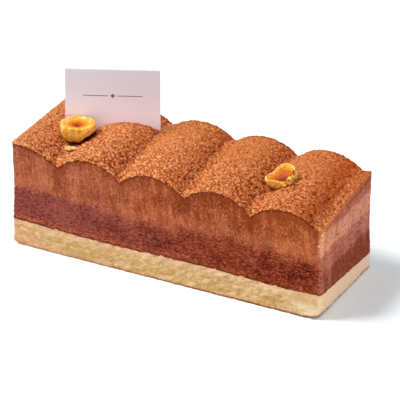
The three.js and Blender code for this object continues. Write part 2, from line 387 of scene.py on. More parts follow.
# ---- node trees ----
def pick(sockets, key):
    """A socket by its number, its name among those in use, or its identifier."""
    if isinstance(key, int):
        return sockets[key]
    named = [socket for socket in sockets if socket.name == key and socket.enabled]
    return named[0] if named else next(socket for socket in sockets if socket.identifier == key)


class Wire:
    """The output of a node. Python's operators on it add Math nodes."""

    def __init__(self, graph, socket):
        self.graph = graph
        self.socket = socket

    def sibling(self, key):
        return Wire(self.graph, pick(self.socket.node.outputs, key))


def operator(operation, swapped=False):
    """A method that answers one of Python's operators with a Math node."""
    def method(self, other):
        values = (other, self) if swapped else (self, other)
        return self.graph.math(operation, *values)
    return method


for sign, operation in (("add", "ADD"), ("sub", "SUBTRACT"), ("mul", "MULTIPLY"), ("truediv", "DIVIDE")):
    setattr(Wire, f"__{sign}__", operator(operation))
    setattr(Wire, f"__r{sign}__", operator(operation, swapped=True))


def stray(value, noise, by):
    """A value that a noise moves up and down by half of by."""
    return value + (noise - 0.5) * by


class Graph:
    """Adds nodes to one tree."""

    def __init__(self, tree):
        self.tree = tree

    def plug(self, socket, value):
        if isinstance(value, Wire):
            self.tree.links.new(value.socket, socket)
        elif socket.type == "RGBA":
            socket.default_value = (*value[:3], 1.0)
        else:
            socket.default_value = value

    def node(self, kind, inputs=None, output=0, stops=None, **settings):
        """A new node's output. inputs are wires or values by socket, and stops a ramp's colours."""
        made = self.tree.nodes.new(kind)
        for name, value in settings.items():
            setattr(made, name, value)
        if stops:
            ramp = made.color_ramp
            while len(ramp.elements) < len(stops):
                ramp.elements.new(0.5)
            for element, (place, colour) in zip(ramp.elements, stops):
                element.position = place
                element.color = (*colour, 1.0)
        for key, value in (inputs or {}).items():
            self.plug(pick(made.inputs, key), value)
        return Wire(self, pick(made.outputs, output)) if made.outputs else made

    def math(self, operation, *values):
        return self.node("ShaderNodeMath", dict(enumerate(values)), operation=operation)

    def most(self, first, second):
        return self.math("MAXIMUM", first, second)

    def vector(self, operation, *values):
        return self.node("ShaderNodeVectorMath", dict(enumerate(values)), operation=operation)

    def stretch(self, at, x, y, z):
        return self.vector("MULTIPLY", at, (x, y, z))

    def scaled(self, at, by):
        return self.node("ShaderNodeVectorMath", {0: at, "Scale": by}, operation="SCALE")

    def in_mm(self, at):
        return self.scaled(at, 1 / MM)

    def split(self, at):
        x = self.node("ShaderNodeSeparateXYZ", {"Vector": at}, "X")
        return x, x.sibling("Y"), x.sibling("Z")

    def join(self, x=0.0, y=0.0, z=0.0):
        return self.node("ShaderNodeCombineXYZ", {"X": x, "Y": y, "Z": z})

    def noise(self, at, size, detail=2.0, roughness=0.5, output="Fac"):
        """Cloudy noise from 0 to 1. size is in the unit of at."""
        inputs = {"Vector": at, "Scale": 1 / size, "Detail": detail, "Roughness": roughness}
        return self.node("ShaderNodeTexNoise", inputs, output)

    def cells(self, at, size):
        """The distance to the middle of the nearest cell, as a share of a cell's size."""
        return self.node("ShaderNodeTexVoronoi", {"Vector": at, "Scale": 1 / size}, "Distance")

    def swayed(self, at, size, by):
        """Places that wander by a noise, so that cells on them are less regular."""
        sway = self.noise(at, size, 1.0, output="Color")
        return self.vector("MULTIPLY_ADD", sway, (by, by, by), at)

    def fade(self, value, low, high, start=0.0, end=1.0):
        """Goes smoothly from start to end as value goes from low to high."""
        inputs = {"Value": value, "From Min": low, "From Max": high, "To Min": start, "To Max": end}
        return self.node("ShaderNodeMapRange", inputs, interpolation_type="SMOOTHSTEP")

    def colour(self, share, first, second):
        inputs = {"Factor_Float": share, "A_Color": first, "B_Color": second}
        return self.node("ShaderNodeMix", inputs, "Result_Color", data_type="RGBA")

    def coats(self, body, *coats):
        """Lays coats over a colour. Each is a share and a colour as a screen shows it. A value
        and two limits may come first: then the coat also fades in from the one to the other."""
        for *span, share, colour in coats:
            if span:
                share = self.fade(*span) * share
            body = self.colour(share, body, srgb(*colour))
        return body


def srgb(red, green, blue):
    """A colour as a screen shows it, 0 to 255, as the linear values that shaders use."""
    def linear(value):
        value = value / 255
        return value / 12.92 if value <= 0.04045 else ((value + 0.055) / 1.055) ** 2.4
    return linear(red), linear(green), linear(blue)


class Finish(Graph):
    """A material: a Principled surface, its own coordinates in mm and the fields of its mesh."""

    def __init__(self, name, **constants):
        self.material = bpy.data.materials.new(name)
        self.material.use_nodes = True
        super().__init__(self.material.node_tree)
        self.surface = next(node for node in self.tree.nodes if node.type == "BSDF_PRINCIPLED")
        for key, value in constants.items():
            self.plug(self.surface.inputs[key.replace("_", " ")], value)
        self.at = self.in_mm(self.node("ShaderNodeTexCoord", output="Object"))

    def field(self, name):
        return self.node("ShaderNodeAttribute", {}, "Fac", attribute_name=name)

    def finish(self, colour, height=None, strength=0.5, reach=0.2):
        self.plug(self.surface.inputs["Base Color"], colour)
        if height is not None:
            inputs = {"Height": height, "Strength": strength, "Distance": reach * MM}
            self.plug(self.surface.inputs["Normal"], self.node("ShaderNodeBump", inputs))
        return self.material


class Recipe(Graph):
    """A Geometry Nodes tree with named inputs."""

    def __init__(self, name, **inputs):
        tree = bpy.data.node_groups.new(name, "GeometryNodeTree")
        super().__init__(tree)
        kinds = {float: "NodeSocketFloat", int: "NodeSocketInt", type(None): "NodeSocketMaterial"}
        for direction in ("INPUT", "OUTPUT"):
            tree.interface.new_socket("Geometry", in_out=direction, socket_type="NodeSocketGeometry")
        self.keys = {}
        for label, value in inputs.items():
            made = tree.interface.new_socket(label, in_out="INPUT", socket_type=kinds[type(value)])
            if value is not None:
                made.default_value = value
            self.keys[label] = made.identifier
        self.start = tree.nodes.new("NodeGroupInput")
        self.end = tree.nodes.new("NodeGroupOutput")
        self.mesh = self.given("Geometry")

    def given(self, name):
        return Wire(self, pick(self.start.outputs, name))

    def field(self, name):
        return self.node("GeometryNodeInputNamedAttribute", {"Name": name}, "Attribute", data_type="FLOAT")

    def chance(self, low, high, seed):
        """A random number for each point, or a random vector where low is one."""
        kind = "FLOAT" if isinstance(low, float) else "FLOAT_VECTOR"
        inputs = {"Min": low, "Max": high, "Seed": seed}
        return self.node("FunctionNodeRandomValue", inputs, "Value", data_type=kind)

    def store(self, mesh, name, value):
        inputs = {"Geometry": mesh, "Name": name, "Value": value}
        return self.node("GeometryNodeStoreNamedAttribute", inputs, data_type="FLOAT", domain="POINT")

    def move(self, mesh, offset):
        return self.node("GeometryNodeSetPosition", {"Geometry": mesh, "Offset": offset})

    def deliver(self, mesh):
        whole = self.node("GeometryNodeRealizeInstances", {"Geometry": mesh})
        paint = self.given("material")
        painted = self.node("GeometryNodeSetMaterial", {"Geometry": whole, "Material": paint})
        self.plug(self.end.inputs["Geometry"], painted)
        return self

    def apply(self, piece, name=None, **values):
        """Runs the recipe on a piece: changes it, or makes a new piece if a name is given."""
        modifier = piece.modifiers.new("recipe", "NODES")
        modifier.node_group = self.tree
        for label, value in values.items():
            modifier[self.keys[label]] = value
        depsgraph = bpy.context.evaluated_depsgraph_get()
        mesh = bpy.data.meshes.new_from_object(
            piece.evaluated_get(depsgraph), preserve_all_data_layers=True, depsgraph=depsgraph
        )
        piece.modifiers.remove(modifier)
        if name is None:
            piece.data = mesh
            return piece
        mesh.name = name
        return add_object(name, mesh)


def relief_recipe():
    """Pushes a surface in and out along its normal: grains, clumps, knife drags and pits, all in
    mm. It keeps the push as the field "relief" and the pits as "pit". Only where the mesh's
    field "open" is above 0 does anything move."""
    tree = Recipe(
        "relief", grain=0.0, grain_size=0.7, clump=0.0, clump_size=2.5, drag=0.0, drag_size=1.2,
        drag_along=1.0, drag_up=0.3, pit=0.0, pit_size=1.2, pit_share=0.5, seed=0.0, material=None,
    )
    given = tree.given
    at = tree.in_mm(tree.node("GeometryNodeInputPosition"))
    at = tree.vector("ADD", at, tree.join(given("seed")))
    swayed = tree.swayed(at, 0.9, 0.5)
    patch = tree.fade(tree.noise(at, 8.0, 2.0), 0.4, 0.62, 0.45, 1.0)
    reach = tree.cells(swayed, given("grain_size"))
    grains = 0.3 - reach * reach
    clumps = tree.noise(at, given("clump_size"), 3.0, 0.6) - 0.5
    x, y, z = tree.split(at)
    drawn = tree.join((x + z * 0.06) * given("drag_along"), y * given("drag_along"), z * given("drag_up"))
    drags = tree.noise(drawn, given("drag_size"), 3.0, 0.55) - 0.5
    crowd = tree.fade(tree.noise(at, 3.5, 2.0), given("pit_share"), given("pit_share") + 0.08)
    holes = tree.fade(tree.cells(swayed, given("pit_size")), 0.34, 0.1) * crowd
    relief = (
        grains * given("grain") * patch
        + clumps * given("clump") * 2
        + drags * given("drag") * 2
        - holes * given("pit")
    ) * tree.field("open")
    mesh = tree.store(tree.mesh, "relief", relief)
    mesh = tree.store(mesh, "pit", holes)
    normal = tree.node("GeometryNodeInputNormal")
    return tree.deliver(tree.move(mesh, tree.scaled(normal, relief * MM)))


def crumb_recipe():
    """Scatters lumpy crumbs over the faces where the mesh's field "crumbs" is above 0. density
    is in crumbs per square millimetre and the sizes are radii in mm."""
    tree = Recipe("crumbs", density=1.0, least=0.12, most=0.3, sink=0.2, seed=0, material=None)
    given = tree.given
    amount = tree.field("crumbs") * given("density") / (MM * MM)
    inputs = {"Mesh": tree.mesh, "Density": amount, "Seed": given("seed")}
    points = tree.node("GeometryNodeDistributePointsOnFaces", inputs, "Points")
    normal = points.sibling("Normal")
    chance = tree.chance(0.0, 1.0, given("seed"))
    size = (given("least") + (given("most") - given("least")) * chance * chance * chance) * MM
    turn = tree.chance((0.0, 0.0, 0.0), (CRUMB_TURN, CRUMB_TURN, CRUMB_TURN), given("seed"))
    flat = tree.chance((0.6, 0.6, 0.5), (1.2, 1.0, 0.9), given("seed"))
    points = tree.store(points, "tone", tree.chance(0.2, 1.0, given("seed") + 1))
    points = tree.move(points, tree.scaled(normal, size * given("sink") * -1))
    crumb = tree.node("GeometryNodeMeshIcoSphere", {"Radius": 1.0, "Subdivisions": 1}, "Mesh")
    inputs = {"Points": points, "Instance": crumb, "Rotation": turn, "Scale": tree.scaled(flat, size)}
    crumbs = tree.node("GeometryNodeInstanceOnPoints", inputs)
    crumbs = tree.node("GeometryNodeRealizeInstances", {"Geometry": crumbs})
    at = tree.in_mm(tree.node("GeometryNodeInputPosition"))
    lumps = tree.vector("SUBTRACT", tree.noise(at, 0.25, 1.0, output="Color"), (0.5, 0.5, 0.5))
    crumbs = tree.move(crumbs, tree.scaled(lumps, CRUMB_LUMPS * MM))
    return tree.deliver(tree.node("GeometryNodeSetShadeSmooth", {"Geometry": crumbs}))


relief = relief_recipe()
crumbs = crumb_recipe()


# ---- finishes ----
def cocoa_finish(name, lift=0.0):
    """Cocoa powder: crumbly orange-brown clumps, with painted highlights on the raised grains and painted
    shade in the hollows between them, on the flank of each wave that faces away from the light, along the
    back edge and round the foot of each nut. lift is the share of a paler tone, as on powder that was
    smeared."""
    paint = Finish(name, Roughness=0.95, Specular_IOR_Level=0.0)
    fade = paint.fade
    tone, shaded_flank = paint.field("tone"), paint.field("shaded_flank")
    drift = paint.noise(paint.at, 9.0, 3.0, 0.6)
    clots = paint.noise(paint.at, 1.7, 3.0, 0.6)
    crumple = paint.noise(paint.at, 0.9, 4.0, 0.65)
    fine = paint.noise(paint.at, 0.7, 2.0, 0.6)
    reach = paint.cells(paint.swayed(paint.at, 0.8, 0.9), 0.95)
    x, y = paint.split(paint.at)[:2]
    along_x = stray(x, drift, 20)
    front = fade(stray(y, drift, 20), 14, -14)
    right = fade(x, 38, 50)
    corner = fade(x, 52.0, 56.5) * fade(stray(y, drift, 10), -6.0, -16.0)
    ledge = fade(stray(x, crumple, 3.0), 56.0, 58.0) * (1 - corner * 0.8)
    rough = (0.5 + paint.most(front, shaded_flank * 0.8) * 0.5) * (1 - fade(x, -34, -54) * 0.25)
    low = fade(stray(paint.field("relief"), crumple, 0.5), 0.0, -0.36)
    body = paint.coats(
        paint.colour(fade(drift, 0.35, 0.68), srgb(238, 153, 90), srgb(246, 165, 104)),
        ((1 - front) * 0.6, (194, 108, 54)),
        (along_x, 0, -40, 0.3, (255, 186, 124)),
        (along_x, -14, 20, 0.14, (176, 92, 40)),
        (along_x, 36, 60, 0.5, (190, 94, 44)),
        (corner * 0.6, (252, 176, 112)),
        (ledge * 0.7, (192, 104, 48)),
        (clots, 0.51, 0.66, rough * 0.32, (250, 182, 124)),
        (clots, 0.49, 0.34, rough * 0.36, (196, 90, 24)),
        # painted highlights on the raised grains and painted shade in the hollows between them, where the
        # bump rises and falls
        (crumple, 0.5, 0.66, rough * 0.36, (250, 186, 130)),
        (crumple, 0.48, 0.34, rough * 0.42, (176, 70, 10)),
        (fine, 0.52, 0.64, rough * (0.6 + shaded_flank * 0.35), (248, 190, 138)),
        (fine, 0.48, 0.34, rough * (0.8 + shaded_flank * 0.2), (156, 52, 4)),
        (reach, 0.44, 0.62, rough * 0.75, (158, 54, 4)),
        (tone, 0.55, 0.9, 0.3 + front * 0.25, (255, 196, 134)),
        (tone, 0.5, 0.3, fade(tone, 0.0, 0.1) * 0.5, (160, 58, 8)),
        # painted shade on the flank of each wave that faces away from the light
        (shaded_flank * (0.3 + right * 0.3), (186, 78, 24)),
        (shaded_flank * right * front * 0.2, (128, 60, 26)),
        (x, -40, -50, 0.14, (170, 84, 44)),
        # painted shade along the back edge, where the top curves away from the light
        (stray(y, crumple, 3.0), 18.6, 20.8, 0.45, (140, 56, 16)),
        # painted shade round the foot of each nut
        (paint.field("nut_shade") * 0.85, (92, 28, 4)),
        # painted shade in the hollows of the relief
        (low * (0.3 + shaded_flank * (0.3 + front * 0.25)), (116, 34, 2)),
        (lift, (255, 188, 148)),
    )
    lumps = (0.3 - reach * reach) * 0.9 + crumple + fine * (0.5 + shaded_flank * 0.7)
    return paint.finish(body, height=lumps, strength=0.7, reach=0.55)


class MousseFinish(Finish):
    """Mousse, pale above and dark below, with a smeared border between the two."""

    def __init__(self, name, dark):
        super().__init__(name, Roughness=0.75, Specular_IOR_Level=0.05)
        self.x, self.y, self.z = x, y, z = self.split(self.at)
        upright = self.join(x + z * 0.06, y, z * 0.35)
        hanging = self.join(x + z * 0.1, y * 0.6, z * 0.16)
        leaning = self.join((x + z) * 0.9, y, (z - x) * 0.3)
        lying = self.join(x * 0.35, y * 0.35, z)
        across = 0.55 if dark else 1.0
        up = 1.0 if dark else 0.6
        self.drags = self.noise(upright, 1.5, 4.0, 0.65)
        self.smear = self.noise(upright, 4.0, 4.0, 0.65)
        self.curtain = self.noise(hanging, 3.0, 3.0, 0.6)
        self.scratches = self.noise(leaning, 1.3, 3.0, 0.6)
        self.waver = self.noise(lying, 0.7, 4.0, 0.65)
        self.cloud = self.noise(self.stretch(self.at, 1.0, 1.0, 0.6), 4.2, 4.0, 0.6)
        self.patch = self.noise(self.stretch(self.at, 0.7, 0.7, 1.0), 6.5, 3.0, 0.55)
        self.drift = self.noise(self.at, 16.0, 2.0, 0.5)
        self.grit = self.noise(self.stretch(self.at, across, 0.42, up), 0.62, 3.0, 0.7)
        self.warmth = self.fade(stray(x, self.drift, 60.0), -50, 45)
        self.back = self.fade(y, -18, 18)
        self.end = self.fade(stray(x, self.grit, 1.5), 58.2, 59.6) * 0.92
        # Height over the border between the two mousses.
        self.height = 0 - self.field("below") if dark else self.field("rise")
        body = self.colour(self.border(), self.deep(), self.pale())
        body = self.foot(body) if dark else self.brow(body)
        # painted shade inside the pits of the relief
        body = self.coats(body, (self.field("pit") * 0.75, (66, 18, 8)))
        self.finish(body, height=self.grit, strength=0.6, reach=0.35)

    def border(self):
        """0 in the dark mousse and 1 in the pale one."""
        soft = self.fade(stray(self.x, self.drift, 30.0), -34, 0)
        height = stray(self.height, self.smear, 8.0) + (self.patch - 0.5) * 7.0 * soft
        return self.fade(stray(height, self.grit, 3.0), -1.8 - soft * 2.4, 1.8)

    def strata(self):
        """The soft bands of colour on the right end."""
        fade, back = self.fade, self.back
        level = stray(stray(self.z + (self.y + 21) * 0.048, self.cloud, 4.0), self.grit, 1.6)
        low = self.colour(back, srgb(136, 62, 40), srgb(130, 56, 34))
        middle = self.colour(back, srgb(178, 100, 80), srgb(176, 102, 90))
        high = self.colour(back, srgb(216, 142, 108), srgb(204, 138, 114))
        body = self.colour(fade(level, 16.9, 18.9), low, middle)
        return self.coats(
            self.colour(fade(level, 25.1, 26.9), body, high),
            (fade(level + fade(self.y, -16, -4) * 1.2, 33.4, 35.0), (170, 92, 78)),
            (self.curtain, 0.5, 0.66, 0.25, (228, 162, 134)),
            (self.curtain, 0.48, 0.34, 0.3, (130, 60, 40)),
            (self.scratches, 0.48, 0.34, 0.2, (122, 54, 36)),
        )

    def pale(self):
        """The light mousse. It is warmer to the right."""
        fade, warmth = self.fade, self.warmth
        band = fade(stray(self.height, self.cloud, 8.0), 6.5, 1.5)
        body = self.coats(
            self.colour(warmth, srgb(164, 86, 60), srgb(152, 64, 16)),
            (self.cloud, 0.5, 0.66, 0.36 + warmth * 0.14, (196, 110, 72)),
            (self.cloud, 0.5, 0.34, 0.4 + warmth * 0.1, (124, 48, 20)),
            (self.curtain, 0.52, 0.66, 0.3 + warmth * 0.12, (204, 120, 82)),
            (self.curtain, 0.48, 0.36, 0.6, (122, 46, 16)),
            (self.patch, 0.52, 0.66, 0.18 + warmth * 0.12, (206, 118, 76)),
            (self.patch, 0.48, 0.36, 0.3 + warmth * 0.3, (116, 44, 18)),
            (band * (0.14 + warmth * 0.08), (204, 120, 90)),
            (self.drags, 0.52, 0.68, 0.4, (204, 120, 78)),
            (self.drags, 0.48, 0.34, 0.4, (116, 44, 20)),
            (self.scratches, 0.42, 0.32, 0.5, (104, 36, 16)),
            (self.x, 4, 12, fade(self.x, 36, 28) * 0.2, (100, 32, 6)),
            (self.x, 32, 40, 0.12, (208, 124, 76)),
        )
        return self.coats(
            self.colour(self.end, body, self.strata()),
            (self.grit, 0.52, 0.66, 0.44 + self.end * 0.2, (222, 144, 102)),
            (self.grit, 0.48, 0.34, 0.5 + self.end * 0.2, (98, 34, 10)),
        )

    def deep(self):
        """The dark mousse, with wavering lines that grow stronger to the right."""
        fade, warmth = self.fade, self.warmth
        bright = self.colour(warmth, srgb(160, 84, 72), srgb(162, 78, 44))
        lined = fade(stray(self.x, self.cloud, 40.0), -45, 10, 0.25, 0.8)
        body = self.colour(warmth, srgb(134, 64, 58), srgb(114, 36, 12))
        body = self.colour(fade(self.cloud, 0.5, 0.66) * 0.5, body, bright)
        body = self.coats(
            self.colour(fade(self.patch, 0.5, 0.62) * 0.3, body, bright),
            (self.patch, 0.5, 0.36, 0.25 + warmth * 0.45, (86, 18, 4)),
            (self.waver, 0.52, 0.68, lined * 0.8, (168, 86, 56)),
            (self.waver, 0.49, 0.34, lined, (70, 16, 6)),
        )
        return self.coats(
            self.colour(self.end, body, self.strata()),
            (self.grit, 0.52, 0.66, 0.6, (186, 100, 70)),
            (self.grit, 0.48, 0.35, 0.72 - self.end * 0.1, (64, 14, 6)),
        )

    def foot(self, body):
        """The foot of the dark mousse: a dark seam on the sponge under a line of orange."""
        fade = self.fade
        rise = stray(self.field("rise"), self.waver, 1.4)
        line = fade(rise, 2.6, 1.6) * fade(rise, 0.6, 1.1) * fade(self.x, 0, -40, 0.25, 0.8)
        return self.coats(
            body,
            (rise, 1.0, 0.4, 0.45, (100, 38, 18)),
            (line * fade(self.grit, 0.4, 0.6), (190, 100, 52)),
        )

    def brow(self, body):
        """The top of the light mousse: painted shade below the cocoa, darker still below a valley, cocoa
        dust and a painted shadow line just under the cocoa's edge, an orange rim on the right end and
        cocoa smeared down its front corner."""
        fade, end = self.fade, self.end
        below, smeared = self.field("below"), self.field("smear")
        drip = self.field("crease") * fade(stray(below, self.drags, 10.0), 13.0, 2.0)
        under = stray(stray(below, self.drags, 8.0), self.curtain, 10.0) - self.warmth * 2.0
        shaded = fade(under, 4.5, 0.0) * (0.45 + self.warmth * 0.2)
        ragged = stray(stray(below, self.grit, 2.5), self.drags, 2.5)
        body = self.coats(
            body,
            (drip * (1 - end) * 0.55, (108, 38, 12)),
            # painted shade under the cocoa's edge
            (shaded * (1 - end * 0.7), (132, 52, 14)),
            # cocoa dust and a painted shadow line just under the cocoa's edge
            (stray(below, self.grit, 2.0), 1.6, 0.3, 0.7 - end * 0.4, (124, 50, 16)),
            (ragged, 1.6, 0.3, 0.5 - end * 0.3, (84, 28, 6)),
        )
        rim = fade(ragged, 3.2 + self.back * 0.6, 1.8) * end
        rim_colour = self.colour(self.back, srgb(166, 84, 44), srgb(120, 42, 20))
        return self.coats(
            self.colour(rim * 0.7, body, rim_colour),
            (ragged, 2.0, 1.0, end * (0.8 - self.back * 0.4), (206, 118, 62)),
            (smeared * 0.6, (212, 122, 78)),
            (smeared * fade(self.grit, 0.46, 0.58) * 0.9, (255, 194, 156)),
        )


def sponge_finish():
    """Pale sponge: torn flakes of cream and olive, painted shade in the hollows of its relief and painted
    highlights on its raised parts, and a baked lower edge with painted contact shade along its foot.
    """
    paint = Finish("sponge_crumb", Roughness=0.9, Specular_IOR_Level=0.1)
    fade = paint.fade
    x, y, z = paint.split(paint.at)
    height = paint.field("relief")
    level = paint.stretch(paint.at, 0.4, 0.45, 1.0)
    leaning = paint.join(x * 0.3 + z * 0.2, y * 0.45, z * 0.85 - x * 0.5)
    lean = fade(x, -46, -20)
    flakes = paint.noise(leaning, 1.4, 5.0, 0.7) * lean + paint.noise(level, 1.2, 5.0, 0.7) * (1 - lean)
    broad = paint.noise(paint.stretch(paint.at, 0.45, 0.45, 0.8), 5.0, 3.0, 0.5)
    fine = paint.noise(paint.at, 0.5, 3.0, 0.7)
    end = fade(x, 58.0, 59.3)
    rise = stray(paint.field("rise"), fine, 2.0)
    below = stray(stray(paint.field("below"), broad, 6), flakes, 3)
    rosy = fade(stray(x + z * 1.6, broad, 30), -34, -54)
    chalky = fade(stray(x, broad, 24), 44, 54) * fade(z, 7.5, 4.0)
    body = paint.coats(
        paint.colour(fade(broad, 0.36, 0.64), srgb(194, 152, 94), srgb(210, 164, 120)),
        (below, 3.6, 1.4, 0.4, (230, 190, 150)),
        (below, 3.0, 4.4, fade(z, 1.6, 3.2) * 0.35, (184, 150, 78)),
        (rosy * 0.6, (222, 158, 118)),
        (flakes, 0.49, 0.38, 0.6, (168, 132, 66)),
        (flakes, 0.52, 0.62, 0.5, (236, 206, 164)),
        # painted shade in the hollows of the relief and painted highlights on its raised parts
        (height, -0.05, -0.35, 0.6, (150, 108, 50)),
        (chalky * 0.6, (236, 216, 184)),
        (height, 0.02, 0.25, 0.35, (234, 208, 170)),
        (fine, 0.54, 0.7, 0.45, (244, 220, 184)),
        (fine, 0.46, 0.3, 0.45, (146, 104, 50)),
        (rise, 1.5, 0.5, fade(x, -70, 40, 0.3, 0.75), (184, 112, 62)),
    )
    smooth_end = paint.coats(
        paint.colour(fade(fine, 0.4, 0.62), srgb(236, 196, 164), srgb(248, 212, 184)),
        (y, -8, -18, 0.6, (238, 196, 146)),
    )
    top = stray(paint.field("below"), fine, 0.8)
    body = paint.coats(
        paint.colour(end * 0.85, body, smooth_end),
        # baked crust and painted contact shade along the foot
        (rise, 0.9, 0.45, fade(x, -50, 40, 0.25, 0.85), (104, 58, 36)),
        (top, 0.5, 0.15, 0.45 * (1 - end * 0.5), (168, 100, 60)),
    )
    return paint.finish(body, height=fine, strength=0.5, reach=0.3)


def nut_finish():
    """Roasted hazelnut: golden flesh with a painted highlight on the side towards the light and painted
    shade lower down, orange in the hollow, and dark skin, which is also painted shade, under one side.
    """
    paint = Finish(
        "roasted_hazelnut", Roughness=0.45, Specular_IOR_Level=0.22,
        Subsurface_Weight=0.06, Subsurface_Scale=1.5 * MM,
    )
    fade = paint.fade
    fine = paint.noise(paint.at, 0.9, 4.0, 0.65)
    broad = paint.noise(paint.at, 2.6, 2.0, 0.5)
    hollow = stray(paint.field("hollow"), fine, 0.2)
    flesh = paint.coats(
        paint.colour(fade(broad, 0.36, 0.64), srgb(240, 166, 34), srgb(255, 208, 104)),
        (fine, 0.48, 0.32, 0.75, (192, 108, 24)),
        (fine, 0.54, 0.7, 0.5, (255, 226, 160)),
        (paint.field("shade") * 0.6, (206, 128, 36)),
        # painted highlight on the side of each nut that faces the light
        (paint.field("pale") * 0.6, (252, 200, 136)),
    )
    inwards = (
        (0.0, srgb(244, 190, 84)),
        (0.2, srgb(234, 160, 44)),
        (0.45, srgb(216, 120, 16)),
        (0.72, srgb(180, 70, 4)),
        (1.0, srgb(108, 24, 2)),
    )
    bowl = paint.node("ShaderNodeValToRGB", {"Fac": hollow}, "Color", stops=inwards)
    mottle = fade(stray(fine, broad, 0.4), 0.47, 0.36) * paint.field("torn")
    body = paint.coats(
        paint.colour(fade(hollow, 0.02, 0.14), flesh, bowl),
        # dark skin, which is also painted shade under that side
        (fade(stray(paint.field("skin_and_shade"), fine, 0.6), 0.4, 0.6), (88, 16, 8)),
        (mottle * 0.9, (104, 40, 12)),
        # painted shade inside the pits of the relief
        (paint.field("pit") * 0.6, (120, 58, 22)),
    )
    return paint.finish(body, height=fine, strength=0.6, reach=0.35)


def flake_finish():
    """The pale inside of a nut."""
    paint = Finish("pale_nut", Roughness=0.55, Specular_IOR_Level=0.3)
    fine = paint.noise(paint.at, 0.8, 4.0, 0.65)
    body = paint.colour(paint.fade(fine, 0.36, 0.62), srgb(196, 140, 74), srgb(240, 200, 134))
    return paint.finish(body, height=fine, strength=0.4, reach=0.25)


def card_finish():
    """Uncoated card with a plain printed rule and lozenge, with painted light and a glow towards its foot
    in place of the light that the cocoa throws up.
    """
    paint = Finish("card_paper", Roughness=0.8, Specular_IOR_Level=0.2, Emission_Strength=0.12)
    fade = paint.fade
    centred = paint.node("ShaderNodeMapping", {"Vector": paint.at, "Location": (-CARD_X, -CARD_Y, 0.0)})
    turned = paint.node("ShaderNodeMapping", {"Vector": centred, "Rotation": (0.0, 0.0, -CARD_TURN)})
    across, depth, up = paint.split(turned)
    side = paint.math("ABSOLUTE", across)
    height = paint.math("ABSOLUTE", up - PRINT_Z)
    rule = fade(height, 0.2, 0.12) * fade(side, 10.6, 10.4) * fade(side, 1.5, 1.7)
    lozenge = fade(side + height, 0.95, 0.85)
    ink = paint.most(rule, lozenge) * fade(depth, -0.15, -0.2)
    fibres = paint.noise(paint.at, 0.5, 4.0, 0.7)
    body = paint.coats(
        # painted light: lighter and pinker towards the foot, where the cocoa throws light up onto the card
        paint.colour(fade(up, 62, 40), srgb(216, 208, 216), srgb(246, 232, 240)),
        (fibres, 0.42, 0.6, 0.3, (230, 222, 228)),
        (ink * 0.85, (60, 40, 46)),
    )
    # painted light: a glow towards the foot in place of the light that the cocoa throws up
    bounce_glow = paint.colour(fade(up, 56, 40), (0.0, 0.0, 0.0), (0.8, 0.7, 0.78))
    paint.plug(paint.surface.inputs["Emission Color"], bounce_glow)
    return paint.finish(body, height=fibres, strength=0.15, reach=0.1)


cocoa_paint = cocoa_finish("cocoa_powder")
smear_paint = cocoa_finish("cocoa_smear", 0.7)
light_paint = MousseFinish("light_mousse", dark=False).material
dark_paint = MousseFinish("dark_mousse", dark=True).material
sponge_paint = sponge_finish()
nut_paint = nut_finish()
flake_paint = flake_finish()
card_paint = card_finish()


# ---- layers ----
def sponge_wall(share):
    """The foot and the top edge of the sponge are drawn in a little."""
    inset = 0.25 * max(0.0, 1 - share / 0.08) ** 2 + 0.15 * max(0.0, (share - 0.94) / 0.06) ** 2
    return inset, BASE_UNDERCUT * (1 - share) ** 1.6, SPONGE_CORNERS


def dark_wall(share):
    return WAIST * share, 0.0, DARK_CORNERS


def light_wall(share):
    return WAIST * (1 - share), 0.0, LIGHT_CORNERS


sponge = relief.apply(
    layer("sponge_layer", lift_z, sponge_top_z, sponge_wall),
    grain=0.12, grain_size=0.9, clump=0.3, clump_size=2.4, drag=0.55, drag_size=1.15, drag_along=0.5,
    drag_up=1.0, pit=0.3, pit_size=1.1, pit_share=0.52, material=sponge_paint,
)
dark = relief.apply(
    layer("dark_mousse_layer", lambda x, y: sponge_top_z(x, y) - DARK_SEAT, dark_top_z, dark_wall),
    grain=0.1, grain_size=0.8, clump=0.2, clump_size=2.0, drag=0.35, drag_size=0.8, drag_along=0.35,
    drag_up=1.0, pit=0.35, pit_size=1.3, pit_share=0.55, seed=40.0, material=dark_paint,
)
light = relief.apply(
    layer(
        "light_mousse_layer", lambda x, y: dark_top_z(x, y) - LIGHT_SEAT,
        lambda x, y: crown_z(x, y) - LIGHT_DROP, light_wall, cap_tops=20, sink=0.3,
    ),
    grain=0.08, grain_size=0.8, clump=0.16, clump_size=2.0, drag=0.2, drag_size=1.3, drag_up=0.35,
    pit=0.3, pit_size=1.2, pit_share=0.6, seed=40.0, material=light_paint,
)


# ---- cocoa ----
def cocoa_grid():
    """The fine grid over the top: its points, their distances to the edge, its quads and the
    numbers of the points on its edge."""
    across = 2 * round(WIDTH / COCOA_STEP / 2)
    length = round(LENGTH / COCOA_STEP)
    flat_x, flat_y = np.meshgrid(
        np.linspace(-LENGTH / 2, LENGTH / 2, length + 1),
        np.linspace(-WIDTH / 2, WIDTH / 2, across + 1),
        indexing="ij",
    )
    x, y = in_plan(flat_x.ravel(), flat_y.ravel(), 0.02, 0.0, LIGHT_CORNERS)
    edge = np.minimum(LENGTH / 2 - np.abs(flat_x), WIDTH / 2 - np.abs(flat_y)).ravel()
    z = powder_z(x, y) - 0.28 * (1 - smooth(edge, 0, 0.9))
    grid = np.arange(len(x)).reshape(length + 1, across + 1)
    quads = np.stack([grid[:-1, :-1], grid[1:, :-1], grid[1:, 1:], grid[:-1, 1:]], axis=-1)
    rim = np.concatenate([grid[:-1, 0], grid[-1, :-1], grid[:0:-1, -1], grid[0, :0:-1]])
    return columns(x, y, z), edge, quads.reshape(-1, 4), np.roll(rim, across // 2)


